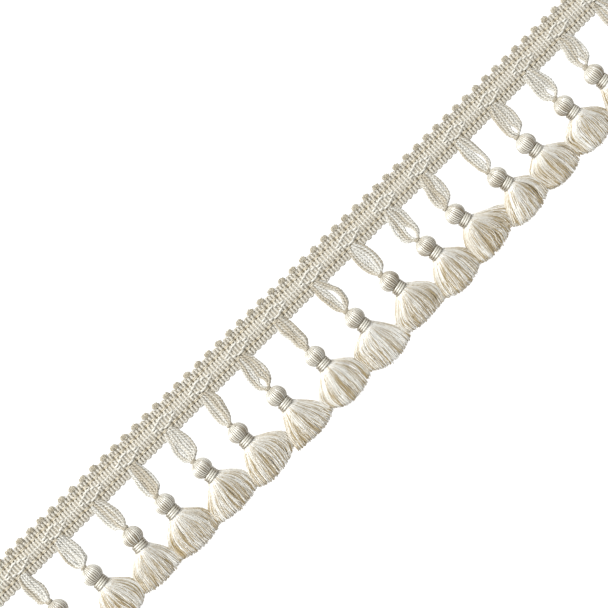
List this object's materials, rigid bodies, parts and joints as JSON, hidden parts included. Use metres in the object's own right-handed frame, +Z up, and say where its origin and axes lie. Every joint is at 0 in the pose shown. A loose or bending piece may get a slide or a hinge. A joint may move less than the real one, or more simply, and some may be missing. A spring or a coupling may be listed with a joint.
{
  "type": "tassel fringe",
  "caption": "Straight length of ivory tassel fringe: woven gimp heading with picots and lozenges, hanger loops and ball-headed tassels, lying flat.",
  "frame": {"origin": "middle of the box's underside, on the surface that the fringe lies on", "axes": "+X along the heading, +Y across it from the tassels to the picots, +Z up out of its face"},
  "size_m": [0.384, 0.0586, 0.0085],
  "materials": {
    "braid": "twisted ivory yarn, woven in ribs, with beige binding warps",
    "cord": "two-ply twisted ivory cord with a soft lustre",
    "floss": "silky ivory and beige rayon floss",
    "band": "shiny ivory winding thread"
  },
  "bodies": {
    "root": {"heading": "braid", "loop_01": "cord", "tassel_01": "floss", "binding_01": "band", "loop_02": "cord", "tassel_02": "floss", "binding_02": "band", "loop_03": "cord", "tassel_03": "floss", "binding_03": "band", "loop_04": "cord", "tassel_04": "floss", "binding_04": "band", "loop_05": "cord", "tassel_05": "floss", "binding_05": "band", "loop_06": "cord", "tassel_06": "floss", "binding_06": "band", "loop_07": "cord", "tassel_07": "floss", "binding_07": "band", "loop_08": "cord", "tassel_08": "floss", "binding_08": "band", "loop_09": "cord", "tassel_09": "floss", "binding_09": "band", "loop_10": "cord", "tassel_10": "floss", "binding_10": "band", "loop_11": "cord", "tassel_11": "floss", "binding_11": "band", "loop_12": "cord", "tassel_12": "floss", "binding_12": "band", "loop_13": "cord", "tassel_13": "floss", "binding_13": "band", "loop_14": "cord", "tassel_14": "floss", "binding_14": "band", "loop_15": "cord", "tassel_15": "floss", "binding_15": "band", "loop_16": "cord", "tassel_16": "floss", "binding_16": "band", "loop_17": "cord", "tassel_17": "floss", "binding_17": "band", "loop_18": "cord", "tassel_18": "floss", "binding_18": "band"}
  },
  "joints": []
}
